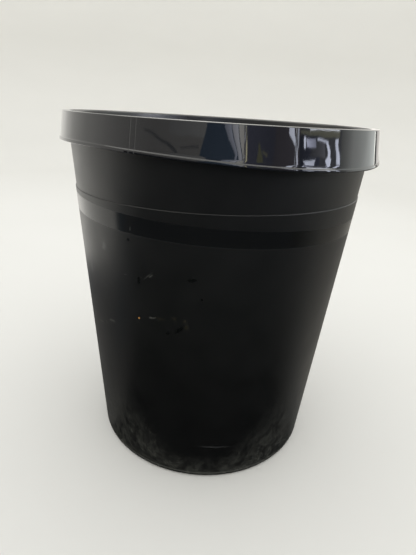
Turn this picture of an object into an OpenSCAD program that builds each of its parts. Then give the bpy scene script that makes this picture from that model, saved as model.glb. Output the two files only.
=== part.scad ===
// A round tapered bucket: a thin moulded tub and the loose collar that drops over its mouth.
// Millimetres, +Z up. The origin is on the floor, in the middle of the base.

/* [Tub] */
// Height of the tub, floor to mouth
tub_h = 345; // [240:5:420]
// Outside diameter of the tapered wall, taken down to the floor
base_d = 241; // [180:1:250]
// Outside diameter of the tapered wall at the mouth
mouth_d = 292; // [255:1:352]
// Thickness of the tub's wall
wall = 1.9; // [1.4:0.1:2.6]
// Thickness of the tub's bottom
bottom_t = 2.4; // [1.8:0.1:4]
// Radius of the round edge between the wall and the base
base_edge_r = 4.5; // [3:0.5:8]
// How far the bottom stands clear of the floor
foot_h = 3; // [1.5:0.5:5]
// Width of the ring that the tub stands on
foot_w = 3.5; // [2:0.5:6]
// How far below the mouth the small shoulder round the wall is
shoulder_down = 61.5; // [45:0.5:120]
// How far the wall steps out below that shoulder
shoulder_w = 0.8; // [0.3:0.1:1]

/* [Collar] */
// Height of the collar at its two deep sides, where the hands take it
grip_h = 30.7; // [26:0.1:38]
// Height of the collar at its two shallow sides
side_h = 23.5; // [20:0.1:25]
// Direction of the two deep sides, from +X
grip_turn = -45; // [-90:5:90]
// How far the collar's top stands out past the mouth
overhang = 4; // [3:0.5:7]
// How much further out the skirt is at its deepest edge than at its top
flare = 4.1; // [1:0.1:5]
// Thickness of the collar's flat top
top_t = 2.2; // [1.6:0.1:3]
// Thickness of the collar's outer skirt
skirt_t = 1.8; // [1.2:0.1:2.2]
// Thickness of the ring that hangs inside the mouth
inner_t = 1.6; // [1.2:0.1:2.2]
// Depth of the ring that hangs inside the mouth
inner_h = 14; // [8:1:22]
// Radius of the collar's top outer edge
top_edge_r = 1.4; // [0.5:0.1:1.6]
// Radius of the collar's top inner edge
inner_edge_r = 2.2; // [0.5:0.1:2.2]
// Height of the rolled lip at the skirt's lower edge
lip_h = 2.7; // [1.5:0.1:4]
// How far that lip stands out
lip_w = 0.9; // [0.4:0.1:1.5]
// Number of stiffening ribs under the collar's top
rib_count = 16; // [8:4:24]
// Thickness of a stiffening rib
rib_t = 1.4; // [1:0.1:2]
// Depth of a stiffening rib
rib_h = 12; // [6:1:16]

/* [Fit] */
// Gap between the tub's wall and the ring inside its mouth
inner_gap = 0.4; // [0.3:0.1:1]
// Gap between the tub's mouth and the ribs round it
rib_gap = 0.5; // [0.3:0.1:1]

/* [Hidden] */
$fn = 96;
// Steps in a quarter of a rounded edge
arc_steps = 8;
// How far joined shapes run into each other
sink = 0.4;
// How far a cutting shape runs past what it cuts
past = 2;

taper = (mouth_d - base_d) / 2 / tub_h;
wall_deg = atan(taper);
// The wall's thickness measured level
wall_level = wall / cos(wall_deg);
collar_r = mouth_d / 2 + overhang;
collar_top = tub_h + top_t;
shoulder_z = tub_h - shoulder_down;
lip_r = collar_r + flare + lip_w;
deep_z = collar_top - grip_h;
rib_in_r = mouth_d / 2 + rib_gap;
// The skirt's lower edge lies on a level cylinder of this radius, so it is deep at two sides.
edge_rise = grip_h - side_h;
edge_r = (lip_r * lip_r + edge_rise * edge_rise) / (2 * edge_rise);

// Outside radius of the plain tapered wall at a height
function tub_r(z) = base_d / 2 + taper * z;
// Outside radius of the collar's skirt at a height
function skirt_r(z) = collar_r + flare * (collar_top - z) / grip_h;
// Points of a circular arc, from one angle to another
function arc(x, z, r, from, to) =
    [for (i = [0:arc_steps]) let (a = from + (to - from) * i / arc_steps) [x + r * cos(a), z + r * sin(a)]];

// The round edge at the base is tangent to the floor plane of the foot and to the tapered wall.
edge_in = base_edge_r * (1 / cos(wall_deg) - taper);
base_edge_x = tub_r(0) + shoulder_w - edge_in;
inside_edge_r = max(base_edge_r - wall, 1);
floor_z = foot_h + bottom_t;
inside_edge_in = inside_edge_r * (1 / cos(wall_deg) - taper);
inside_edge_x = tub_r(floor_z) + shoulder_w - wall_level - inside_edge_in;

module tub_section() {
    polygon(concat(
        [[0, floor_z], [0, foot_h], [base_edge_x - foot_w, foot_h], [base_edge_x - foot_w, 0]],
        arc(base_edge_x, base_edge_r, base_edge_r, -90, -wall_deg),
        [[tub_r(shoulder_z) + shoulder_w, shoulder_z],
         [tub_r(shoulder_z), shoulder_z],
         [mouth_d / 2, tub_h],
         [mouth_d / 2 - wall_level, tub_h]],
        arc(inside_edge_x, floor_z + inside_edge_r, inside_edge_r, -wall_deg, -90)
    ));
}

module tub() {
    color("#1a1b1b") rotate_extrude() tub_section();
}

// The collar's section before its lower edge is cut: flat top, outer skirt, inner ring.
module collar_section() {
    low = deep_z - past;
    in_top = mouth_d / 2 - wall_level - inner_gap;
    in_low = in_top - taper * inner_h;
    polygon(concat(
        [[skirt_r(low) - skirt_t, low], [skirt_r(low), low]],
        arc(collar_r - top_edge_r, collar_top - top_edge_r, top_edge_r, 0, 90),
        arc(in_top - inner_t + inner_edge_r, collar_top - inner_edge_r, inner_edge_r, 90, 180),
        [[in_low - inner_t, tub_h - inner_h],
         [in_low, tub_h - inner_h],
         [in_top, tub_h],
         [skirt_r(tub_h) - skirt_t, tub_h]]
    ));
}

// A long level cylinder along the deep sides. The underside that it cuts is this far above the edge.
module edge_cutter(above) {
    translate([0, 0, deep_z + edge_r])
        rotate([0, 0, grip_turn])
            rotate([0, 90, 0])
                cylinder(h = 4 * lip_r, r = edge_r - above, center = true, $fn = 720);
}

// The rolled lip: a slightly wider band of the same cone, as deep as the lip all the way round.
module lip() {
    low = deep_z - past;
    high = deep_z + edge_rise + lip_h + past;
    difference() {
        intersection() {
            rotate_extrude() polygon([
                [skirt_r(low) - skirt_t, low], [skirt_r(low) + lip_w, low],
                [skirt_r(high) + lip_w, high], [skirt_r(high) - skirt_t, high]
            ]);
            edge_cutter(0);
        }
        edge_cutter(lip_h);
    }
}

// One stiffening rib: it ties the skirt to the flat top and keeps the mouth central.
module rib() {
    low = tub_h - rib_h;
    translate([0, rib_t / 2, 0]) rotate([90, 0, 0]) linear_extrude(rib_t) polygon([
        [rib_in_r, tub_h + sink],
        [skirt_r(tub_h) - skirt_t + sink, tub_h + sink],
        [skirt_r(low) - skirt_t + sink, low],
        [rib_in_r + sink, low]
    ]);
}

module collar() {
    color("#232526") union() {
        intersection() {
            rotate_extrude() collar_section();
            edge_cutter(0);
        }
        lip();
        for (i = [0:rib_count - 1]) rotate((i + 0.5) * 360 / rib_count) rib();
    }
}

tub();
collar();
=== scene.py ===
# %% [markdown]
# # A black bucket with a loose gloss collar
#
# The object has two mouldings. The tub is a thin tapered shell of polypropylene with a satin skin, one
# polished band and a fine shoulder near its top. The collar is a glossy ring that drops over the mouth
# and is lifted by its skirt. Both are made here as turned outlines, because a mould for such a bucket is
# turned on a lathe too.
#
# Lengths are written in millimetres, as on a mould drawing, and turned to metres when a mesh is made.
# Directions round the axis are given as a bearing: 0 is the front, toward -Y, and a positive bearing goes
# round toward +X.
#
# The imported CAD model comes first. It fixes every size and place, and its box is kept to compare with at
# the end.

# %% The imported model
import math
import bmesh
import bpy
from mathutils import Matrix, Vector, noise


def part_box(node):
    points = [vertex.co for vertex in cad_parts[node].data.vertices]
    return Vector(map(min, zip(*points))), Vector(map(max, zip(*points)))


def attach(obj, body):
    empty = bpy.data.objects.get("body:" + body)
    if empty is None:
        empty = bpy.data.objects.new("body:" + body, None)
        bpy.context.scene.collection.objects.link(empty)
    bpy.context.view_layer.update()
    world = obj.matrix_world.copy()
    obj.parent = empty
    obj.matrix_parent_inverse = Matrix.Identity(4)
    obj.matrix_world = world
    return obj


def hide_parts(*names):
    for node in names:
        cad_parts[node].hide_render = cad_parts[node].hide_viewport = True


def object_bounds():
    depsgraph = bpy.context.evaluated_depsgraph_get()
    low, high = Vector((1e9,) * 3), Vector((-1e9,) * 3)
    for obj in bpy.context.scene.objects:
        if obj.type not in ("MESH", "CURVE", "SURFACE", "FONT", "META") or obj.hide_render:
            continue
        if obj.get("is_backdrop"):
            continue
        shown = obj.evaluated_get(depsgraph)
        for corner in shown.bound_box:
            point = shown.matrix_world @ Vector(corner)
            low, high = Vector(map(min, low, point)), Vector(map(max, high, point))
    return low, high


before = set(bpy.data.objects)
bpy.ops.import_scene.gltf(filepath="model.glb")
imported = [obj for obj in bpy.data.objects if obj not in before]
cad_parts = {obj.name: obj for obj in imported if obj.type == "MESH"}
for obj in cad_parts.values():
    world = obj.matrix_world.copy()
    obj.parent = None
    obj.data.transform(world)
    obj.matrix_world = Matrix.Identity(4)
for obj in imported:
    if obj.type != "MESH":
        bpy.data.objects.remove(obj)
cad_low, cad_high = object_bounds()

MM = 0.001
_, tub_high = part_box("tub")
_, collar_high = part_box("collar")
TUB_H = tub_high.z / MM
COLLAR_TOP = collar_high.z / MM
print("tub height", round(TUB_H, 2), "mm, collar top at", round(COLLAR_TOP, 2), "mm")

# %% [markdown]
# ## The camera
#
# The eye is a little above the collar and close to the bucket, so the taper looks stronger than it is.
# The lens is a normal wide phone lens. The camera looks down by 22 degrees and leans a few degrees to one
# side. It is placed by three turns about its own axes, which is easier to read than aiming it at a point
# and then leaning it.

# %% The camera
EYE = Vector((0.0, -0.4371, 0.3543))
LOOK_DOWN = 22.27
TURN_LEFT = 0.355
LEAN = 3.667
LENS = 26.47

camera_data = bpy.data.cameras.new("camera")
camera_data.lens = LENS
camera_data.sensor_width = 36.0
camera_data.clip_start = 0.01
camera = bpy.data.objects.new("camera", camera_data)
camera.matrix_world = (
    Matrix.Translation(EYE)
    @ Matrix.Rotation(math.radians(TURN_LEFT), 4, "Z")
    @ Matrix.Rotation(math.radians(90.0 - LOOK_DOWN), 4, "X")
    @ Matrix.Rotation(math.radians(LEAN), 4, "Z")
)
bpy.context.scene.collection.objects.link(camera)
bpy.context.scene.camera = camera
bpy.context.scene.view_settings.view_transform = "Standard"
bpy.context.scene.view_settings.look = "None"
print("camera", round((EYE - (cad_low + cad_high) / 2).length, 3), "m from the middle of the bucket")

# %% [markdown]
# ## Colours and nodes
#
# A colour that is read off a real thing is an sRGB value, as on a paint card. Blender's shaders work in
# linear light, so one function turns a hex value to linear. One more function adds a node with its own
# settings and its inputs, where an input is a plain value or another node's output. Every material here
# is made with these two.

# %% Helpers for colours and nodes
def linear(hex_colour):
    """An sRGB hex colour as the linear colour that shaders take."""
    channels = []
    for start in (1, 3, 5):
        value = int(hex_colour[start:start + 2], 16) / 255.0
        channels.append(value / 12.92 if value <= 0.04045 else ((value + 0.055) / 1.055) ** 2.4)
    return (*channels, 1.0)


def add_node(tree, kind, settings, inputs):
    """Adds one node. inputs maps a socket's name or number to a value, or to the output that feeds it."""
    made = tree.nodes.new("ShaderNode" + kind)
    for name, value in settings.items():
        setattr(made, name, value)
    for name, value in inputs.items():
        if isinstance(value, bpy.types.NodeSocket):
            tree.links.new(value, made.inputs[name])
        else:
            made.inputs[name].default_value = value
    return made


def empty_material(name):
    """A material whose node tree has nothing in it yet."""
    made = bpy.data.materials.new(name)
    made.use_nodes = True
    made.node_tree.nodes.clear()
    return made


print("mid grey in linear light:", round(linear("#808080")[0], 3))

# %% [markdown]
# ## Turning a shape
#
# The floor, the tub and the collar are all round, so one function turns an outline about the upright
# axis. It asks for the outline again at each bearing, so a line on the piece may rise and fall on its way
# round. Blender's Screw modifier could turn a fixed outline, but it couldn't do that.

# %% A mesh turned from an outline
def new_object(name, mesh):
    """Puts a mesh in the scene as an object at the origin."""
    made = bpy.data.objects.new(name, mesh)
    bpy.context.scene.collection.objects.link(made)
    return made


def turned_mesh(name, outline, steps, closed):
    """A mesh turned about Z. outline(bearing) gives (radius, height) points in mm, always as many."""
    mesh = bpy.data.meshes.new(name)
    build = bmesh.new()
    rings = []
    for step in range(steps):
        bearing = 2.0 * math.pi * step / steps
        points = outline(bearing)
        ring = [
            build.verts.new((r * math.sin(bearing) * MM, -r * math.cos(bearing) * MM, z * MM))
            for r, z in points
        ]
        rings.append(ring)
    count = len(rings[0])
    spans = count if closed else count - 1
    for step in range(steps):
        here, there = rings[step], rings[(step + 1) % steps]
        for i in range(spans):
            j = (i + 1) % count
            build.faces.new((here[i], there[i], there[j], here[j]))
    bmesh.ops.remove_doubles(build, verts=build.verts, dist=1e-7)
    bmesh.ops.recalc_face_normals(build, faces=build.faces)
    for face in build.faces:
        face.smooth = True
    build.to_mesh(mesh)
    build.free()
    return mesh


# %% [markdown]
# ## The studio
#
# The floor is a pale disc whose rim rises in a cove, so no horizon shows, and it goes all the way round,
# so that no side is without it. It is a roll of matt paper, which gives the eye an even ground with soft
# shadows. Daylight comes down from an even sky over the open top, because one soft light from everywhere
# leaves no hard shadow.

# %% The floor with its cove
FLOOR_R = 1900.0
COVE_R = 700.0
COVE_STEPS = 12
WALL_TOP = 1500.0


def cove_outline(bearing):
    """The floor from the axis outward, then the cove, then the upright wall: the same at every bearing."""
    points = [(0.0, 0.0), (300.0, 0.0), (FLOOR_R, 0.0)]
    for step in range(1, COVE_STEPS + 1):
        turn = math.radians(90.0 * step / COVE_STEPS)
        points.append((FLOOR_R + COVE_R * math.sin(turn), COVE_R * (1.0 - math.cos(turn))))
    points.append((FLOOR_R + COVE_R, WALL_TOP))
    return points


floor = new_object("floor", turned_mesh("floor", cove_outline, 96, False))
floor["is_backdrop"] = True
print("floor is", round(2 * FLOOR_R * MM, 2), "m across before its cove")

# %% The paper and the sky
# Matt paper has no gloss, only slow clouds of lighter and darker pulp. Nine of them go across the whole
# floor, so each is about 0.6 m wide.
PULP_CLOUDS = 9.0

paper = empty_material("matt white-grey studio paper")
tree = paper.node_tree
pulp = add_node(tree, "TexNoise", {}, {"Scale": PULP_CLOUDS, "Detail": 3.0})
shade = add_node(tree, "ValToRGB", {}, {0: pulp.outputs[0]})
shade.color_ramp.elements[0].color = linear("#d3d1cb")
shade.color_ramp.elements[1].color = linear("#d8d6d0")
surface = add_node(tree, "BsdfDiffuse", {}, {"Color": shade.outputs[0]})
add_node(tree, "OutputMaterial", {}, {"Surface": surface.outputs[0]})
floor.data.materials.append(paper)

world = bpy.data.worlds.new("sky")
world.use_nodes = True
world.node_tree.nodes.clear()
sky = add_node(world.node_tree, "Background", {}, {"Color": linear("#f4f6f8"), "Strength": 1.75})
add_node(world.node_tree, "OutputWorld", {}, {"Surface": sky.outputs[0]})
bpy.context.scene.world = world
print("sky strength", sky.inputs["Strength"].default_value)

# %% [markdown]
# ## Reflector cards
#
# A glossy black thing shows its surroundings more than itself. So reflector cards stand round the bucket,
# as in a product studio. Each is a thin sheet that glows, and its glow may rise or fall from one side to
# the other, as daylight does along a wall. Area lights would show as plain rectangles and would light the
# tub as well. These cards are seen by reflections only: they light nothing, throw no shadow and never
# show themselves.

# %% The mesh of a card
def graded_grid(name, rows, across):
    """A sheet made of rows of points. The attribute "across" runs from 0 to 1 along each row."""
    mesh = bpy.data.meshes.new(name)
    build = bmesh.new()
    made = [[build.verts.new(point) for point in row] for row in rows]
    for lower, upper in zip(made, made[1:]):
        for i in range(across):
            build.faces.new((lower[i], lower[i + 1], upper[i + 1], upper[i]))
    build.to_mesh(mesh)
    build.free()
    grade = mesh.attributes.new("across", "FLOAT", "POINT")
    grade.data.foreach_set("value", [i / across for row in rows for i in range(across + 1)])
    return mesh


def ring_point(radius, bearing, z):
    """A place at a bearing in degrees: 0 is straight in front, 90 to the right."""
    turn = math.radians(bearing)
    return (radius * math.sin(turn) * MM, -radius * math.cos(turn) * MM, z * MM)


# %% Upright sheets and level mats
# Degrees from one row of points to the next.
SHEET_STEP = 3
MAT_STEP = 4


def sheet_mesh(name, radius, left, right):
    """An upright curved sheet between two edges, each a list of (bearing, height) points."""
    across = max(2, int(abs(right[0][0] - left[0][0]) / SHEET_STEP))
    rows = []
    for (left_bearing, left_z), (right_bearing, right_z) in zip(left, right):
        row = []
        for step in range(across + 1):
            part = step / across
            bearing = left_bearing + (right_bearing - left_bearing) * part
            row.append(ring_point(radius, bearing, left_z + (right_z - left_z) * part))
        rows.append(row)
    return graded_grid(name, rows, across)


def mat_mesh(name, bearings, radii, z):
    """A level part of a ring."""
    across = max(2, int((bearings[1] - bearings[0]) / MAT_STEP))
    rows = []
    for radius in radii:
        steps = [bearings[0] + (bearings[1] - bearings[0]) * step / across for step in range(across + 1)]
        rows.append([ring_point(radius, bearing, z) for bearing in steps])
    return graded_grid(name, rows, across)


# %% The card's glow
def stand_card(name, mesh, colour, strengths):
    """A glowing card that only reflections see. Its strength grows or fades from side to side."""
    card = new_object(name, mesh)
    glow = empty_material("glow of " + name)
    tree = glow.node_tree
    across = add_node(tree, "Attribute", {"attribute_name": "across"}, {})
    grade = add_node(
        tree, "MapRange", {},
        {"Value": across.outputs["Fac"], "To Min": strengths[0], "To Max": strengths[1]},
    )
    emission = add_node(tree, "Emission", {}, {"Color": linear(colour), "Strength": grade.outputs[0]})
    add_node(tree, "OutputMaterial", {}, {"Surface": emission.outputs[0]})
    mesh.materials.append(glow)
    card.visible_camera = False
    card.visible_diffuse = False
    card.visible_transmission = False
    card.visible_shadow = False
    card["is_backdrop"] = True


# %% [markdown]
# ## What the collar mirrors
#
# The skirt is upright and polished, so it shows a squeezed view of everything round the bucket at its own
# height. On the left that is a pale wall, then a dark blue door with a curtain, a shaded corner with a
# lamp, a window with its blind, and a lit wall on the right. Small cards stand a few millimetres in front
# of large ones. A whole modelled room would do the same, but simple cards keep every edge crisp and easy
# to move.

# %% The upright cards
# name, distance from the axis, two edges as (bearing, height) points in the same order, colour, strengths
CARDS = [
    ("near_wall", 420, [(-118, 70), (-118, 700)], [(-69, 70), (-69, 700)], "#fbf9f2", (1.50, 1.22)),
    ("wall_dims", 420, [(-152, 70), (-152, 700)], [(-118, 70), (-118, 700)], "#fbf9f2", (0.40, 1.48)),
    ("wall_behind", 420, [(-175, 70), (-175, 700)], [(-152, 70), (-152, 700)], "#fbf9f2", (1.9, 0.5)),
    ("back_wall", 425, [(150, 70), (150, 700)], [(185.5, 70), (185.5, 700)], "#fbf9f2", (0.6, 1.8)),
    ("room_wall", 1400, [(-180, 150), (-180, 1250)], [(180, 150), (180, 1250)], "#fbf7f0", (1.1, 1.1)),
    ("left_wall", 1396, [(-90, 400), (-90, 1240)], [(-40, 400), (-40, 1240)], "#fbf8f2", (1.3, 0.72)),
    ("dim_wall", 1392, [(-40, 400), (-40, 1240)], [(16, 400), (16, 1240)], "#fbf8f2", (0.72, 0.95)),
    ("lit_corner", 1390, [(-30, 585), (-30, 1240)], [(-4, 600), (-4, 1240)], "#f8f8f6", (0.85, 1.25)),
    ("cable", 1386,
     [(-47, 562), (-41, 565), (-36, 552), (-31, 543), (-26, 518)],
     [(-46, 568), (-41, 573), (-35, 560), (-29.5, 552), (-24.5, 524)],
     "#a8acb0", (0.68, 0.60)),
    ("chair_edge", 1386,
     [(-23.5, 546), (-18.5, 549), (-13.5, 561)],
     [(-23.5, 551), (-18.5, 554), (-13.5, 567)],
     "#a8acb0", (0.72, 0.72)),
    ("low_front", 1384, [(-60, 0), (-60, 470)], [(51, 0), (51, 440)], "#e0e8ec", (0.05, 0.05)),
    ("low_right", 1384, [(51, 0), (51, 375)], [(88, 0), (88, 375)], "#e8ece4", (0.08, 0.45)),
    ("low_far_right", 1384, [(88, 0), (88, 255)], [(180, 0), (180, 235)], "#f4f0e4", (0.45, 0.6)),
    ("door", 1388,
     [(-16.5, 400), (-14.5, 480), (-12.9, 532), (-12.1, 559),
      (-10.9, 587), (-9.7, 614), (-8.8, 641), (-6.0, 1240)],
     [(16, 400), (16, 480), (16, 532), (16, 559), (16, 587), (16, 614), (16, 641), (16, 1240)],
     "#8aa6c6", (0.78, 1.0)),
    ("curtain_left", 1380,
     [(8.5, 495), (10.2, 545), (7.5, 570), (4.5, 600), (2.0, 645), (-2, 1000)],
     [(9.5, 495), (12.0, 545), (10.8, 570), (8.5, 600), (6.5, 645), (4, 1000)],
     "#dfe6fa", (1.8, 3.2)),
    ("curtain_mid", 1376,
     [(13.2, 495), (12.4, 545), (11.2, 570), (9.2, 600), (7, 645), (4, 1000)],
     [(14.6, 495), (14.4, 545), (13.8, 570), (12.8, 600), (11.6, 645), (10, 1000)],
     "#f0f2fc", (3.0, 4.2)),
    ("curtain_right", 1372,
     [(15, 495), (14.8, 545), (14.2, 570), (13.2, 600), (12, 645), (10.5, 1000)],
     [(16.4, 495), (16.2, 545), (16.0, 570), (15.8, 600), (15.6, 645), (15, 1000)],
     "#f2f0ea", (4.0, 3.4)),
    ("frame_edge", 1370, [(16.7, 480), (16.2, 655), (15.6, 1000)], [(17.3, 480), (16.8, 655), (16.2, 1000)],
     "#f4ecc4", (6.0, 6.0)),
    ("shade", 1388, [(16.6, 400), (16.6, 1230)], [(34, 400), (34, 1230)], "#b0b4d0", (0.90, 0.60)),
    ("shade_right", 1388, [(34, 400), (34, 1230)], [(50.5, 400), (50.5, 1230)], "#c4bcc8", (0.60, 0.90)),
    ("cloth", 1370, [(22.9, 495), (23.2, 530), (23.9, 563), (23.6, 591)],
     [(27.5, 495), (27.5, 530), (26.0, 560), (24.5, 591)], "#d4d4a8", (1.1, 1.1)),
    ("cloth_fold", 1368, [(27.0, 551), (30.0, 534)], [(27.2, 560), (30.2, 544)], "#d4d0b0", (1.6, 1.3)),
    ("lamp", 1370, [(48.8, 471), (47.4, 540), (45.0, 571), (42.4, 602), (42.4, 625), (41.0, 1000)],
     [(49.8, 469), (48.8, 538), (47.3, 568), (46.3, 594), (46.0, 620), (47, 1000)], "#e8eeff", (8.0, 9.0)),
    ("lamp_side", 1370, [(49.1, 537), (48.8, 566), (48.1, 598), (48, 650)],
     [(49.8, 536), (49.8, 564), (49.5, 596), (49.4, 650)], "#e8eeff", (5.0, 5.0)),
    ("window_dark", 1388, [(50.5, 370), (50.5, 1230)], [(66, 370), (66, 1230)], "#a8b0d0", (0.40, 0.9)),
    ("window_mid", 1386, [(66, 370), (66, 1230)], [(88, 370), (88, 1230)], "#c8ccd4", (0.9, 0.7)),
    ("smoke", 1380, [(58, 496), (60, 545)], [(71, 455), (70, 520)], "#d0d2dc", (0.6, 1.7)),
    ("blind", 1370, [(51.0, 587), (55, 576), (64.9, 550), (72.9, 528), (82.5, 501)],
     [(50.2, 600), (55, 590), (64.5, 571), (73.0, 551), (82.5, 527)], "#d4d4bc", (1.8, 1.8)),
    ("over_blind", 1372, [(57, 588), (64.5, 573), (73.0, 553), (82.0, 529)],
     [(57, 1000), (64.5, 1000), (73.0, 1000), (82.0, 1000)], "#eceff8", (13.0, 9.0)),
    ("pane_side", 1366, [(53.5, 532), (53.2, 572)], [(54.6, 530), (54.6, 570)], "#e6ecff", (11.0, 11.0)),
    ("pane_glow", 1366, [(55.5, 534), (54.9, 564)], [(62.3, 512), (61.5, 549)], "#dfe4ff", (8.0, 3.4)),
    ("pane_top", 1366, [(62.7, 538), (68.0, 524), (73.1, 504)], [(62.7, 549), (68.0, 534), (73.1, 514)],
     "#e6ecff", (8.0, 8.0)),
    ("pane_low", 1366, [(57.2, 446), (55.6, 467), (53.0, 489)], [(62.0, 440), (61.8, 460), (62.6, 472)],
     "#e6ecff", (10.0, 8.0)),
    ("streak_one", 1366, [(72.5, 424), (70.7, 446), (72.9, 458), (73.1, 476), (72.0, 499), (70.6, 520)],
     [(75.4, 417), (76.0, 441), (75.0, 454), (75.2, 471), (74.1, 491), (73.1, 507)],
     "#e6ecff", (10.0, 10.0)),
    ("streak_two", 1366, [(80.6, 410), (80.2, 447), (79.2, 469), (78.4, 485), (78.2, 506)],
     [(83.4, 402), (83.0, 439), (82.2, 455), (81.3, 478), (81.6, 498)], "#e6ecff", (7.0, 9.0)),
    ("wall_start", 1385, [(84, 250), (84, 1230)], [(95, 250), (95, 1230)], "#f4f8f4", (0.75, 1.6)),
    ("lit_wall", 1384, [(95, 250), (95, 1230)], [(129.5, 240), (127, 1230)], "#f6faf6", (1.6, 1.8)),
    ("corner_light", 1378, [(129.0, 240), (126.3, 420)], [(130.7, 240), (127.8, 415)],
     "#fbfcf4", (3.6, 3.6)),
    ("corner_dark", 1378, [(131.9, 240), (128.6, 420)], [(135.6, 240), (132.0, 410)],
     "#8090a0", (0.1, 0.1)),
]
for name, radius, left, right, colour, strengths in CARDS:
    stand_card("card_" + name, sheet_mesh("card_" + name, radius, left, right), colour, strengths)
print(len(CARDS), "upright cards")

# %% [markdown]
# ## What the tub's wall mirrors
#
# The wall leans outward, so it shows the floor more than the room. White paper would turn it grey. These
# level mats lie a millimetre or two over the paper and keep its reflection as dark as a grey carpet
# would, darker in front than at the sides. The last one is a bright ceiling, which draws the fine light
# lines along the rim, the lip and the shoulder.

# %% The level cards
# name, bearings of both sides, distances from the axis, height, colour, strengths
MATS = [
    ("left_far", (-180, -60), (400, 1380), 1.0, "#e8eaf0", (0.16, 0.15)),
    ("left_near", (-180, -60), (120, 400), 1.2, "#f0eee8", (0.30, 0.20)),
    ("strip", (-76, -68), (300, 1380), 1.4, "#9cb8d0", (0.24, 0.24)),
    ("front_far", (-60, 58), (640, 1380), 1.6, "#d8e0f0", (0.11, 0.11)),
    ("front_middle", (-60, 58), (300, 640), 1.8, "#e0ece4", (0.09, 0.09)),
    ("front_near", (-60, 58), (120, 300), 2.0, "#e4e8f0", (0.02, 0.02)),
    ("between", (58, 86), (120, 1380), 2.2, "#ecece4", (0.05, 0.40)),
    ("right", (86, 180), (120, 1380), 2.4, "#f4f0e4", (0.40, 0.44)),
    ("ceiling", (-180, 180), (5, 1400), 1450, "#fbfaf2", (4.0, 4.0)),
]
for name, bearings, radii, z, colour, strengths in MATS:
    stand_card("mat_" + name, mat_mesh("mat_" + name, bearings, radii, z), colour, strengths)
print(len(MATS), "level cards")

# %% [markdown]
# ## The tub
#
# The tub is one moulding: a wall with four degrees of draft, a rounded base edge, a narrow ring that it
# stands on and a small shoulder where the wall steps in for the collar. The shoulder and the polished
# band under it don't run quite level on the real tub, so their heights change with the bearing. The mesh
# is turned from one outline whose points shift a little from one bearing to the next; a plain cone would
# have no thickness and no edges. The band is flush with the wall. Only its finish differs, so it is left
# to the material.

# %% The tub's sizes
WALL_AT_FLOOR = 120.5
DRAFT = 0.0739
SHOULDER_OUT = 0.8
WALL = 1.905
FOOT_IN, FOOT_OUT = 113.62, 117.12
BASE_EDGE_R = 4.5
UNDERSIDE_Z = 3.0
INSIDE_Z = 5.4
INSIDE_EDGE_R = 2.6
STEPS = 384
DRAFT_DEG = math.degrees(math.atan(DRAFT))

# Height in front, and how much higher the line is on the right than in front.
SHOULDER_Z, SHOULDER_RISE = 283.6, 2.6
BAND_TOP_Z, BAND_TOP_RISE = 272.4, -4.4
BAND_LOW_Z, BAND_LOW_RISE = 257.8, -3.2

# Heights of the rows of points between the edges.
LOWER_WALL = (10, 25, 45, 70, 95, 120, 145, 170, 195, 220, 240)
UPPER_WALL = (296, 310, 325, 338)
INSIDE_WALL = (343, 325, 300, 270, 240, 200, 160, 120, 80, 40, 15)


def wall_r(z):
    """Radius of the plain tapered wall, outside."""
    return WALL_AT_FLOOR + DRAFT * z


def line_z(front_z, rise, bearing):
    """Height of a slanting line at a bearing."""
    return front_z + rise * math.sin(bearing)


def round_edge(centre_r, centre_z, radius, start, end, count):
    """Points of a round edge, angles in degrees from +r toward +z."""
    points = []
    for step in range(count + 1):
        angle = math.radians(start + (end - start) * step / count)
        points.append((centre_r + radius * math.cos(angle), centre_z + radius * math.sin(angle)))
    return points


print("the wall leans out by", round(DRAFT_DEG, 2), "degrees")

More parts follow.
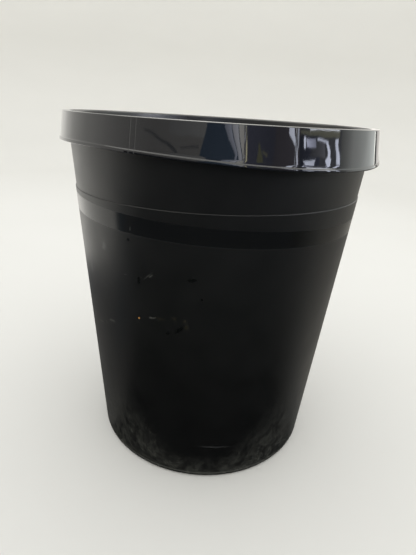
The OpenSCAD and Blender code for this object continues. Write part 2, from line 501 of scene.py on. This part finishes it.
# %% The tub's outline
def tub_outline(bearing):
    """One section of the tub: the underside, up the outside, over the mouth and down the inside."""
    points = [(0.0, UNDERSIDE_Z), (60.0, UNDERSIDE_Z), (112.9, UNDERSIDE_Z), (FOOT_IN, 2.4), (FOOT_IN, 0.4)]
    points += [(FOOT_IN + 0.4, 0.0), (FOOT_OUT - 0.6, 0.0)]
    points += round_edge(FOOT_OUT, BASE_EDGE_R, BASE_EDGE_R, -90.0, -DRAFT_DEG, 8)
    # A fine step where the base of the mould meets its wall.
    out = SHOULDER_OUT
    points += [(wall_r(5.6) + out, 5.6), (wall_r(5.9) + out - 0.2, 5.9), (wall_r(6.5) + out - 0.2, 6.5)]
    points += [(wall_r(6.9) + out, 6.9), (wall_r(7.3) + out, 7.3)]
    for z in LOWER_WALL:
        points.append((wall_r(z) + out, float(z)))
    low = line_z(BAND_LOW_Z, BAND_LOW_RISE, bearing)
    top = line_z(BAND_TOP_Z, BAND_TOP_RISE, bearing)
    step_z = line_z(SHOULDER_Z, SHOULDER_RISE, bearing)
    points += [(wall_r(low) + out, low), (wall_r(top) + out, top)]
    # The shoulder: the wall steps in by 0.8 mm over a rounded edge.
    points += [(wall_r(step_z - 1.1) + out, step_z - 1.1), (wall_r(step_z - 0.8) + out, step_z - 0.8)]
    points += round_edge(wall_r(step_z - 0.5) + out - 0.4, step_z - 0.5, 0.4, 0.0, 80.0, 4)
    points += [(wall_r(step_z) + 0.15, step_z - 0.02), (wall_r(step_z), step_z + 0.12)]
    points += [(wall_r(step_z + 0.5), step_z + 0.5), (wall_r(step_z + 0.8), step_z + 0.8)]
    for z in UPPER_WALL:
        points.append((wall_r(z), float(z)))
    mouth_r = wall_r(TUB_H)
    points += [(mouth_r - 0.03, TUB_H - 0.4), (mouth_r - 0.12, TUB_H - 0.1), (mouth_r - 0.4, TUB_H)]
    points += [(mouth_r - WALL + 0.4, TUB_H), (mouth_r - WALL + 0.1, TUB_H - 0.1)]
    # Inside, the wall steps out below the shoulder too, so its thickness stays the same.
    for z in INSIDE_WALL:
        points.append((wall_r(z) + (out if z < SHOULDER_Z else 0.0) - WALL, float(z)))
    inside_r = wall_r(INSIDE_Z) + out - WALL
    points += round_edge(inside_r - 2.5, INSIDE_Z + INSIDE_EDGE_R, INSIDE_EDGE_R, 0.0, -90.0, 5)
    points += [(60.0, INSIDE_Z), (0.0, INSIDE_Z)]
    return points


# %% The tub's mesh
# Creases sharper than this angle stay sharp, and the rest is shaded smooth.
CREASE = math.radians(50)

tub_shell = new_object("tub_shell", turned_mesh("tub_shell", tub_outline, STEPS, False))
tub_shell.data.set_sharp_from_angle(angle=CREASE)
print("tub_shell has", len(tub_shell.data.vertices), "vertices")

# %% [markdown]
# ## The collar
#
# The collar is a thin moulding too: a flat top, an outer skirt with a rolled lip, and a short ring that
# hangs inside the mouth. The skirt is deeper at two opposite sides, where the hands take it, so its lower
# edge rises and falls twice in a turn. A large glossy moulding never cools quite flat. Its skin sinks by
# up to 0.3 mm in slow waves and by a few hundredths of a millimetre in short ones, and that is what makes
# its reflections wander. The waves are put in the mesh, always inward, so the size stays that of the
# drawing.

# %% The collar's sizes
COLLAR_R = 150.0
FLARE = 4.1 / 30.7
TOP_EDGE_R = 0.7
INNER_EDGE_R = 2.2
LIP_H = 2.7
LIP_W = 0.9
SKIRT_T = 1.8
INNER_LOW_Z = 331.0
INNER_OUT_TOP, INNER_OUT_LOW = 143.69, 142.66
INNER_T = 1.6
SKIRT_ROWS = 12
RIB_COUNT = 16
RIB_HALF_T = 0.7
RIB_DEPTH = 12.0
FLARE_DEG = math.degrees(math.atan(FLARE))


def skirt_edge_z(bearing):
    """Height of the skirt's lower edge, lowest just beside the two hand sides."""
    return 320.15 - 3.6 * math.sin(2.0 * (bearing + math.radians(2.0)))


def skirt_r(z):
    """Radius of the flared skirt before its skin has sunk."""
    return COLLAR_R + FLARE * (COLLAR_TOP - z)


def skin_wave(bearing, z):
    """How far the moulded skin has sunk, in mm, at a place on the skirt."""
    x, y = math.sin(bearing), -math.cos(bearing)
    slow = noise.noise(Vector((x * 3.1, y * 3.1, z * 0.012)))
    ripple = noise.noise(Vector((x * 11.0 + 7.0, y * 11.0, z * 0.035)))
    fine = noise.noise(Vector((x * 23.0, y * 23.0 + 3.0, z * 0.06)))
    return 0.30 * (slow + 0.5) + 0.06 * (ripple + 0.5) + 0.012 * (fine + 0.5)


def skirt_point(bearing, z, out=0.0):
    """A point of the wavy skirt, or one that stands out from it."""
    return (skirt_r(z) + out - skin_wave(bearing, z), z)


print("the skirt is", round(COLLAR_TOP - skirt_edge_z(0.0), 1), "mm deep in front")

# %% The collar's outline
def collar_outline(bearing):
    """One section of the collar, from the inner ring up, over the top, down the skirt and back under."""
    inner_in_top = INNER_OUT_TOP - INNER_T
    inner_in_low = INNER_OUT_LOW - INNER_T
    points = [(INNER_OUT_LOW, INNER_LOW_Z + 0.6), (INNER_OUT_LOW - 0.3, INNER_LOW_Z + 0.1)]
    points += [(inner_in_low + 0.4, INNER_LOW_Z), (inner_in_low + 0.05, INNER_LOW_Z + 0.3)]
    points += [(inner_in_low + 0.1, INNER_LOW_Z + 1.2), (inner_in_low + 0.55, INNER_LOW_Z + 7.0)]
    inner_edge_z = COLLAR_TOP - INNER_EDGE_R
    points += round_edge(inner_in_top + INNER_EDGE_R, inner_edge_z, INNER_EDGE_R, 180.0, 90.0, 10)
    dish = 0.05 * noise.noise(Vector((math.sin(bearing) * 4.0, math.cos(bearing) * 4.0, 0.0)))
    points += [(145.6, COLLAR_TOP - 0.06 + dish), (147.6, COLLAR_TOP - 0.06 + dish)]
    # The edge is tangent to the flat top and to the flared skirt, with two close rows after it.
    edge_z = COLLAR_TOP - TOP_EDGE_R
    sunk = skin_wave(bearing, edge_z)
    centre_r = COLLAR_R + FLARE * TOP_EDGE_R - TOP_EDGE_R * math.hypot(1.0, FLARE) - sunk
    points += round_edge(centre_r, edge_z, TOP_EDGE_R, 90.0, FLARE_DEG, 8)
    points += [skirt_point(bearing, edge_z - 0.1), skirt_point(bearing, edge_z - 0.4)]
    low = skirt_edge_z(bearing)
    high = low + LIP_H
    start = edge_z - 0.9
    for step in range(SKIRT_ROWS + 1):
        z = start + (high + 0.6 - start) * step / SKIRT_ROWS
        points.append(skirt_point(bearing, z))
    # The rolled lip: a small hollow fillet, a round shoulder, a flat face and a round lower edge.
    points += [skirt_point(bearing, high + 0.25, 0.06), skirt_point(bearing, high + 0.08, 0.25)]
    points += [skirt_point(bearing, high, 0.55), skirt_point(bearing, high - 0.1, 0.76)]
    points += [skirt_point(bearing, high - 0.3, 0.87), skirt_point(bearing, high - 0.55, LIP_W)]
    points += [skirt_point(bearing, low + 1.2, LIP_W), skirt_point(bearing, low + 0.55, LIP_W - 0.02)]
    points += [skirt_point(bearing, low + 0.2, LIP_W - 0.16), skirt_point(bearing, low, LIP_W - 0.5)]
    inside = [(low, -SKIRT_T + 0.35), (low + 0.3, -SKIRT_T), (low + 8.0, -SKIRT_T), (335.0, -SKIRT_T)]
    points += [(skirt_r(z) + out, z) for z, out in inside]
    points += [(skirt_r(TUB_H) - SKIRT_T - 0.6, TUB_H - 0.2), (skirt_r(TUB_H) - SKIRT_T - 1.2, TUB_H)]
    points += [(INNER_OUT_TOP + 0.4, TUB_H), (INNER_OUT_TOP, TUB_H - 0.4)]
    return points


# %% [markdown]
# ## The ribs under the collar
#
# Sixteen thin ribs tie the skirt to the flat top and keep the mouth in the middle of it. They show when
# the collar is lifted off and looked at from below. Each is a small plate with six faces that gets
# thinner downward, as a rib must to leave its mould. They are added to the collar's own mesh, since they
# are the same moulding.

# %% The ribs, and the collar's mesh
def add_ribs(mesh):
    """Adds the thin plates under the collar's top, from the mouth's edge out to the skirt."""
    build = bmesh.new()
    build.from_mesh(mesh)
    low = TUB_H - RIB_DEPTH
    for number in range(RIB_COUNT):
        angle = 2.0 * math.pi * (number + 0.5) / RIB_COUNT
        along = Vector((math.cos(angle), math.sin(angle), 0.0))
        across = Vector((-math.sin(angle), math.cos(angle), 0.0))
        corners = []
        for side in (-1, 1):
            for r, z, thin in (
                (146.5, TUB_H + 0.3, 1.0),
                (skirt_r(TUB_H) - SKIRT_T + 0.4, TUB_H + 0.3, 1.0),
                (skirt_r(low) - SKIRT_T + 0.4, low, 0.8),
                (146.9, low, 0.8),
            ):
                place = along * r + across * (side * RIB_HALF_T * thin)
                corners.append(build.verts.new((place.x * MM, place.y * MM, z * MM)))
        for a, b in ((0, 1), (1, 2), (2, 3), (3, 0)):
            build.faces.new((corners[a], corners[b], corners[b + 4], corners[a + 4]))
        build.faces.new(corners[3::-1])
        build.faces.new(corners[4:])
    bmesh.ops.recalc_face_normals(build, faces=build.faces)
    build.to_mesh(mesh)
    build.free()


collar_mesh = turned_mesh("collar_ring", collar_outline, STEPS * 2, True)
add_ribs(collar_mesh)
collar_mesh.set_sharp_from_angle(angle=CREASE)
collar_ring = new_object("collar_ring", collar_mesh)
print("collar_ring has", len(collar_mesh.vertices), "vertices")

# %% [markdown]
# ## Two bodies
#
# The collar lifts off and the tub stays, so each piece rides on its own body. Each also takes the place
# of its plain CAD solid, which is then hidden.

# %% Each piece takes the place of its CAD node and rides on its body
for piece, node_name, slot_name in (
    (tub_shell, "tub", "tub_plastic"),
    (collar_ring, "collar", "collar_plastic"),
):
    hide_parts(node_name)
    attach(piece, node_name)
    print(piece.name, "rides as", node_name)

# %% [markdown]
# ## The tub's skin: spark-eroded polypropylene
#
# The mould's wall is spark-eroded, which leaves a fine even grain, so the black polypropylene comes out
# satin: the grain spreads each reflection into a soft sheen that is strong only toward the sides. The
# band was polished in the mould and stays nearly black with a clearer reflection. Years of use add dust
# low down, rubbed patches and a few scuffs.
#
# Everything on it is placed by bearing and height, as if the wall were unrolled. A UV map could hold that
# too, but the bearing comes straight from the object's own coordinates, and it stays right when the mesh
# changes.

# %% Bearing and height inside a material
def place_round_axis(tree):
    """Adds the nodes that give the object's coordinates, the same split in three, and the bearing."""
    place = add_node(tree, "TexCoord", {}, {})
    xyz = add_node(tree, "SeparateXYZ", {}, {0: place.outputs["Object"]})
    minus_y = add_node(tree, "Math", {"operation": "MULTIPLY"}, {0: xyz.outputs[1], 1: -1.0})
    bearing = add_node(tree, "Math", {"operation": "ARCTAN2"}, {0: xyz.outputs[0], 1: minus_y.outputs[0]})
    return place, xyz, bearing


# The wall is unrolled at its middle radius.
UNROLL_R = 0.132

satin = empty_material("spark-eroded satin polypropylene")
tree = satin.node_tree
place, xyz, bearing = place_round_axis(tree)
round_wall = add_node(tree, "Math", {"operation": "MULTIPLY"}, {0: bearing.outputs[0], 1: UNROLL_R})
unrolled = add_node(tree, "CombineXYZ", {}, {0: round_wall.outputs[0], 1: xyz.outputs[2], 2: 0.0})
print("unrolled wall is", round(2 * math.pi * UNROLL_R, 3), "m long")

# %% [markdown]
# ## Marks of use
#
# The tub has an orange speck, brown stains, patches rubbed glossy by other things, pale scuffs and one
# long scratch. Each is an oval on the unrolled wall with its own size and tilt. Crumbly noise eats into
# its edge, since a real mark never ends in a clean curve. A painted texture would be quicker to make, but
# it blurs close up, and these stay sharp however near the camera comes.

# %% The list of marks
# name, kind, bearing in degrees, height, length, width in mm, and tilt in degrees
MARKS = [
    ("speck", "speck", -26.5, 182, 2.6, 1.9, 70),
    ("stain", "stain", -17.5, 187, 9, 4, 0),
    ("stain_two", "stain", -12, 190, 6, 4, 0),
    ("stain_three", "stain", -8, 188, 5, 5, 0),
    ("stain_four", "stain", -7.3, 183, 6, 7, 0),
    ("rub_middle", "rub", -10.2, 179, 13, 5.5, 52),
    ("rub_beside", "rub", -14.4, 174, 5, 3, 40),
    ("rub_upright", "rub", -25.7, 219, 11, 4, 82),
    ("rub_upper", "rub", -6.0, 228, 10, 4.5, 8),
    ("rub_dot", "rub", -29.3, 254, 4, 4, 0),
    ("rub_ring", "rub", -2.3, 211, 2.6, 2.6, 0),
    ("smear_left", "faint", -42.3, 241, 12, 7, 80),
    ("smear_edge", "faint", -55.9, 210, 14, 7, 80),
    ("smear_band", "faint", -28.1, 264, 5, 1.2, 85),
    ("dash_left", "scuff", -31.9, 221, 6, 1.2, 6),
    ("scratch_up", "scuff", -22.0, 225, 14, 1.0, 46),
    ("scratch_up_two", "scuff", -20.6, 226, 8, 1.4, 40),
    ("scuff_middle", "scuff", -20.8, 186, 8, 2.6, 10),
    ("scuff_left", "scuff", -52, 155, 15, 2.4, 10),
    ("scuff_left_two", "scuff", -42, 166, 12, 2.6, 8),
    ("scuff_left_three", "scuff", -47, 160, 8, 1.4, -30),
    ("scratch_low", "scratch", 7.2, 43.5, 39, 1.0, -2),
]
print(len(MARKS), "marks")

# %% How a kind of mark becomes a mask
# Crumbs of 2 mm break up the edge of every mark: 480 of them to the metre.
CRUMBS = 480.0

crumble = add_node(
    tree, "TexNoise", {}, {"Vector": place.outputs["Object"], "Scale": CRUMBS, "Detail": 3.0}
)


def marks_of(kind, start, end, crumbs):
    """The strongest of all marks of one kind: 1 inside a mark, 0 outside."""
    total = None
    for name, its_kind, degrees, height, length, width, tilt in MARKS:
        if its_kind != kind:
            continue
        shifted = add_node(
            tree, "Mapping", {"vector_type": "TEXTURE", "name": name},
            {
                "Vector": unrolled.outputs[0],
                "Location": (math.radians(degrees) * UNROLL_R, height * MM, 0.0),
                "Rotation": (0.0, 0.0, math.radians(tilt)),
                "Scale": (length / 2 * MM, width / 2 * MM, 1.0),
            },
        )
        away = add_node(tree, "VectorMath", {"operation": "LENGTH"}, {0: shifted.outputs[0]})
        rough_edge = add_node(
            tree, "Math", {"operation": "MULTIPLY_ADD"},
            {0: crumble.outputs[0], 1: crumbs, 2: away.outputs[1]},
        )
        mask = add_node(
            tree, "MapRange", {"interpolation_type": "SMOOTHSTEP"},
            {
                "Value": rough_edge.outputs[0],
                "From Min": start + crumbs * 0.5,
                "From Max": end + crumbs * 0.5,
            },
        )
        if total is None:
            total = mask.outputs[0]
        else:
            both = add_node(tree, "Math", {"operation": "MAXIMUM"}, {0: total, 1: mask.outputs[0]})
            total = both.outputs[0]
    return total


# Where a mark starts and where it is full, in half widths from its middle, and how crumbly its edge is.
speck = marks_of("speck", 1.1, 0.6, 0.4)
rub = marks_of("rub", 1.3, 0.1, 1.0)
scuff = marks_of("scuff", 1.15, 0.1, 1.6)
scratch = marks_of("scratch", 1.1, 0.4, 0.3)
faint = marks_of("faint", 1.2, 0.0, 1.2)
stain = marks_of("stain", 1.2, 0.0, 1.8)
print("masks made for", sorted({mark[1] for mark in MARKS}))

# %% [markdown]
# ## Dust and a painted highlight at the base
#
# Floor dust clings low on the tub, a hand's width up toward the left and right but only 30 mm up in
# front, where shoes and hands wipe it. It lies in clumps of 8 to 10 mm. A paler line 4 to 7 mm up is a
# painted highlight along the fine step at the base. Both are masks made from the height, and the
# dust's own is broken by noise.

# %% The dust
# Numbers to the metre, then heights and distances from the middle plane in metres.
WIPED_CLUMPS = (120.0, 120.0, 100.0)
DUST_TOP_FRONT, DUST_TOP_SIDE = 0.034, 0.125
FRONT_ENDS, SIDE_STARTS = 0.015, 0.095
DUST_FULL = 0.004

to_the_side = add_node(tree, "Math", {"operation": "ABSOLUTE"}, {0: xyz.outputs[0]})
dust_top = add_node(
    tree, "MapRange", {"interpolation_type": "SMOOTHSTEP"},
    {
        "Value": to_the_side.outputs[0],
        "From Min": FRONT_ENDS,
        "From Max": SIDE_STARTS,
        "To Min": DUST_TOP_FRONT,
        "To Max": DUST_TOP_SIDE,
    },
)
low_down = add_node(
    tree, "MapRange", {"interpolation_type": "SMOOTHSTEP"},
    {"Value": xyz.outputs[2], "From Min": dust_top.outputs[0], "From Max": DUST_FULL},
)
wipes = add_node(tree, "Mapping", {}, {"Vector": place.outputs["Object"], "Scale": WIPED_CLUMPS})
wiped = add_node(
    tree, "TexNoise", {}, {"Vector": wipes.outputs[0], "Scale": 1.0, "Detail": 6.0, "Roughness": 0.68}
)
clumps = add_node(
    tree, "MapRange", {}, {"Value": wiped.outputs[0], "From Min": 0.36, "From Max": 0.70, "To Min": 0.10}
)
dust = add_node(tree, "Math", {"operation": "MULTIPLY"}, {0: low_down.outputs[0], 1: clumps.outputs[0]})
print("dust reaches", round(DUST_TOP_SIDE / MM), "mm up at the sides")

# %% The painted highlight at the base
# Height of the painted highlight line's middle, then how far from it the highlight ends and is full.
BASE_HIGHLIGHT_Z = 0.0055
BASE_HIGHLIGHT_ENDS, BASE_HIGHLIGHT_FULL = 0.0016, 0.0004

edge_up = add_node(tree, "Math", {"operation": "SUBTRACT"}, {0: xyz.outputs[2], 1: BASE_HIGHLIGHT_Z})
edge_off = add_node(tree, "Math", {"operation": "ABSOLUTE"}, {0: edge_up.outputs[0]})
base_step_highlight = add_node(
    tree, "MapRange", {}, {"Value": edge_off.outputs[0], "From Min": BASE_HIGHLIGHT_ENDS, "From Max": BASE_HIGHLIGHT_FULL}
)
# The printed line is the painted highlight along the base step.
print("the worn line is", round(2 * BASE_HIGHLIGHT_ENDS / MM, 1), "mm high")

# %% [markdown]
# ## The polished band
#
# A strip of the mould was polished smooth. On the tub it is 15 mm high and flush with the wall, and it
# shows as a darker stripe, because it mirrors only one dark place where the satin wall gathers light from
# all round. Its mask comes from the same two slanting lines as the mesh rows, and it is 1 between them
# and 0 outside.

# %% The band's mask, from its two slanting edges
across = add_node(tree, "Math", {"operation": "SINE"}, {0: bearing.outputs[0]})
top_edge = add_node(
    tree, "Math", {"operation": "MULTIPLY_ADD"},
    {0: across.outputs[0], 1: BAND_TOP_RISE * MM, 2: BAND_TOP_Z * MM},
)
low_edge = add_node(
    tree, "Math", {"operation": "MULTIPLY_ADD"},
    {0: across.outputs[0], 1: BAND_LOW_RISE * MM, 2: BAND_LOW_Z * MM},
)
under_top = add_node(tree, "Math", {"operation": "SUBTRACT"}, {0: top_edge.outputs[0], 1: xyz.outputs[2]})
over_low = add_node(tree, "Math", {"operation": "SUBTRACT"}, {0: xyz.outputs[2], 1: low_edge.outputs[0]})
in_band = add_node(
    tree, "Math", {"operation": "MINIMUM"}, {0: under_top.outputs[0], 1: over_low.outputs[0]}
)
band = add_node(
    tree, "MapRange", {}, {"Value": in_band.outputs[0], "From Min": -0.0003, "From Max": 0.0003}
)
# A faint painted highlight along the band's lower edge, where light would catch a fine edge.
line_out = add_node(tree, "Math", {"operation": "ABSOLUTE"}, {0: over_low.outputs[0]})
band_edge_highlight = add_node(
    tree, "MapRange", {}, {"Value": line_out.outputs[0], "From Min": 0.0007, "From Max": 0.0002}
)
print("the band is", round(BAND_TOP_Z - BAND_LOW_Z, 1), "mm high in front")

# %% [markdown]
# ## Colour, roughness and grain of the tub
#
# Carbon-black polypropylene is nearly black, so the dust, the marks and two painted highlight lines are
# mixed over it, one layer after the other. Each layer has a colour and a share, for even a thick stain lets
# some of the plastic through.
# Moulded satin polypropylene has a roughness of 0.3 to 0.5 and an IOR of 1.49. Here it is 0.34 to 0.42,
# the polished band is 0.17, a rubbed patch is 0.19, and dust is dull.

# %% The colour, layer by layer
# The moulding is a little greyer in clouds of 26 mm: 38 of them to the metre.
PLASTIC_CLOUDS = 38.0

cloud = add_node(
    tree, "TexNoise", {}, {"Vector": place.outputs["Object"], "Scale": PLASTIC_CLOUDS, "Detail": 4.0}
)
plastic = add_node(tree, "ValToRGB", {}, {0: cloud.outputs[0]})
plastic.color_ramp.elements[0].position = 0.3
plastic.color_ramp.elements[0].color = linear("#070808")
plastic.color_ramp.elements[1].position = 0.7
plastic.color_ramp.elements[1].color = linear("#0a0b0b")

# mask, colour, and the share that covers the plastic
layers = [
    (dust.outputs[0], "#46473f", 0.58),
    (stain, "#2c2612", 0.40),
    # a painted highlight along the fine step at the base
    (base_step_highlight.outputs[0], "#4a4a45", 0.45),
    (faint, "#4c4e4c", 0.50),
    (scuff, "#5c5c56", 0.34),
    (scratch, "#6c6e70", 0.32),
    (rub, "#020303", 0.95),
    (speck, "#a0702c", 1.0),
    # a painted highlight along the band's lower edge
    (band_edge_highlight.outputs[0], "#34363a", 0.10),
]
colour = plastic.outputs[0]
for mask, tone, amount in layers:
    part = add_node(tree, "Math", {"operation": "MULTIPLY"}, {0: mask, 1: amount})
    mixed = add_node(
        tree, "Mix", {"data_type": "RGBA"}, {0: part.outputs[0], 6: colour, 7: linear(tone)}
    )
    colour = mixed.outputs[2]
print(len(layers), "layers over the plastic")

# %% The roughness
SATIN_LOW, SATIN_HIGH = 0.34, 0.42
BAND_ROUGHNESS = 0.17
RUBBED_ROUGHNESS = 0.19
DUST_ROUGHNESS = 0.65

worn = add_node(
    tree, "MapRange", {},
    {
        "Value": cloud.outputs[0],
        "From Min": 0.2,
        "From Max": 0.8,
        "To Min": SATIN_LOW,
        "To Max": SATIN_HIGH,
    },
)
polished = add_node(
    tree, "Mix", {"data_type": "FLOAT"}, {0: band.outputs[0], 2: worn.outputs[0], 3: BAND_ROUGHNESS}
)
rubbed = add_node(
    tree, "Mix", {"data_type": "FLOAT"}, {0: rub, 2: polished.outputs[0], 3: RUBBED_ROUGHNESS}
)
dulled = add_node(
    tree, "Mix", {"data_type": "FLOAT"}, {0: dust.outputs[0], 2: rubbed.outputs[0], 3: DUST_ROUGHNESS}
)
print("satin roughness", SATIN_LOW, "to", SATIN_HIGH)

# %% The grain and the shader
# The real grain is 0.1 mm. It is drawn at 0.7 mm, the finest that shows: 1400 grains to the metre.
GRAIN = 1400.0
GRAIN_DEPTH = 0.00004

grain = add_node(tree, "TexNoise", {}, {"Vector": place.outputs["Object"], "Scale": GRAIN, "Detail": 2.0})
rough_part = add_node(tree, "Math", {"operation": "SUBTRACT"}, {0: 1.0, 1: band.outputs[0]})
grain_height = add_node(
    tree, "Math", {"operation": "MULTIPLY"}, {0: grain.outputs[0], 1: rough_part.outputs[0]}
)
bump = add_node(
    tree, "Bump", {}, {"Strength": 0.25, "Distance": GRAIN_DEPTH, "Height": grain_height.outputs[0]}
)
shader = add_node(
    tree, "BsdfPrincipled", {},
    {"Base Color": colour, "Roughness": dulled.outputs[0], "IOR": 1.49, "Specular IOR Level": 0.42,
     "Normal": bump.outputs[0]},
)
add_node(tree, "OutputMaterial", {}, {"Surface": shader.outputs[0]})
tub_shell.data.materials.append(satin)
print("tub material has", len(tree.nodes), "nodes")

# %% [markdown]
# ## The collar's skin: mirror-polished polypropylene
#
# The collar comes from a polished mould, so it mirrors the room like black glass. A moulding of slides
# that open sideways has fine upright parting lines where the slides met, and they cross the skirt and its
# lip. They are cut as shallow grooves by a bump, because they are far finer than the mesh.

# %% The parting lines
# Bearings in degrees. A real line is 0.1 mm wide. A groove is drawn 1.3 mm wide, so that it shows. Its edge
# and the edge of its floor are this far from its middle, in radians round the axis.
PARTING_LINES = [-24.5, -22.8, 6.6, 20.4, 58.0]
GROOVE_EDGE, GROOVE_FLOOR = 0.0042, 0.0008

gloss = empty_material("mirror-polished black polypropylene")
tree = gloss.node_tree
place, xyz, bearing = place_round_axis(tree)
groove = None
for degrees in PARTING_LINES:
    away = add_node(
        tree, "Math", {"operation": "SUBTRACT"}, {0: bearing.outputs[0], 1: math.radians(degrees)}
    )
    size = add_node(tree, "Math", {"operation": "ABSOLUTE"}, {0: away.outputs[0]})
    mask = add_node(
        tree, "MapRange", {"interpolation_type": "SMOOTHSTEP"},
        {"Value": size.outputs[0], "From Min": GROOVE_EDGE, "From Max": GROOVE_FLOOR},
    )
    if groove is None:
        groove = mask.outputs[0]
    else:
        both = add_node(tree, "Math", {"operation": "MAXIMUM"}, {0: groove, 1: mask.outputs[0]})
        groove = both.outputs[0]
print(len(PARTING_LINES), "parting lines")

# %% [markdown]
# ## Handling, and the ring inside the mouth
#
# A new polished moulding has a roughness of about 0.02 and, like most plastics, an IOR of 1.5. Hands
# leave a thin uneven film, so it goes up to 0.045 in clouds of 33 mm, and hair-fine level scratches show
# where a reflection is bright. The ring inside the mouth was never polished, so it is satin. The mask for
# it is the distance from the axis, which no other part shares.

# %% The film, the hair scratches and the unpolished ring
# Numbers to the metre: clouds of 33 mm, and hairs 3 mm long. Real hairs are 0.02 mm wide. These are 0.4 mm,
# so that they show.
FILM_CLOUDS = 30.0
HAIRS = (300.0, 300.0, 2600.0)
FILM_LOW, FILM_HIGH = 0.024, 0.045
INNER_ROUGHNESS = 0.3
LEVEL = (1.0, 1.0, 0.0)

stretched = add_node(tree, "Mapping", {}, {"Vector": place.outputs["Object"], "Scale": HAIRS})
hairs = add_node(tree, "TexNoise", {}, {"Vector": stretched.outputs[0], "Scale": 1.0, "Detail": 2.0})
film = add_node(
    tree, "TexNoise", {}, {"Vector": place.outputs["Object"], "Scale": FILM_CLOUDS, "Detail": 3.0}
)
smear = add_node(
    tree, "MapRange", {},
    {"Value": film.outputs[0], "From Min": 0.35, "From Max": 0.75, "To Min": FILM_LOW, "To Max": FILM_HIGH},
)
flat_place = add_node(
    tree, "VectorMath", {"operation": "MULTIPLY"}, {0: place.outputs["Object"], 1: LEVEL}
)
out_from_axis = add_node(tree, "VectorMath", {"operation": "LENGTH"}, {0: flat_place.outputs[0]})
inside = add_node(
    tree, "MapRange", {}, {"Value": out_from_axis.outputs[1], "From Min": 0.1431, "From Max": 0.1424}
)
sheen = add_node(
    tree, "Mix", {"data_type": "FLOAT"}, {0: inside.outputs[0], 2: smear.outputs[0], 3: INNER_ROUGHNESS}
)
print("gloss roughness", FILM_LOW, "to", FILM_HIGH)

# %% The collar's colour, relief and shader
# A groove is 0.14 mm deep, and a hair is a hundredth of that.
GROOVE_DEPTH = 0.00014
HAIR_SHARE = 0.012

tint = add_node(tree, "ValToRGB", {}, {0: film.outputs[0]})
tint.color_ramp.elements[0].color = linear("#0c0d10")
tint.color_ramp.elements[1].color = linear("#0e0f12")
cut = add_node(tree, "Math", {"operation": "MULTIPLY"}, {0: groove, 1: -1.0})
relief = add_node(
    tree, "Math", {"operation": "MULTIPLY_ADD"}, {0: hairs.outputs[0], 1: HAIR_SHARE, 2: cut.outputs[0]}
)
bump = add_node(tree, "Bump", {}, {"Strength": 1.0, "Distance": GROOVE_DEPTH, "Height": relief.outputs[0]})
shader = add_node(
    tree, "BsdfPrincipled", {},
    {"Base Color": tint.outputs[0], "Roughness": sheen.outputs[0], "IOR": 1.5, "Normal": bump.outputs[0]},
)
add_node(tree, "OutputMaterial", {}, {"Surface": shader.outputs[0]})
collar_ring.data.materials.append(gloss)
print("collar material has", len(tree.nodes), "nodes")

# %% [markdown]
#
# The looks must not change the size of the bucket. The box of the CAD model and the box of these pieces
# are written side by side, and they should agree to a small part of a millimetre.

# %% The two boxes
look_low, look_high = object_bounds()
boxes = {
    "cad": [list(cad_low), list(cad_high)],
    "look": [list(look_low), list(look_high)],
}
for name, (low, high) in boxes.items():
    print(name, [round((b - a) / MM, 2) for a, b in zip(low, high)], "mm")
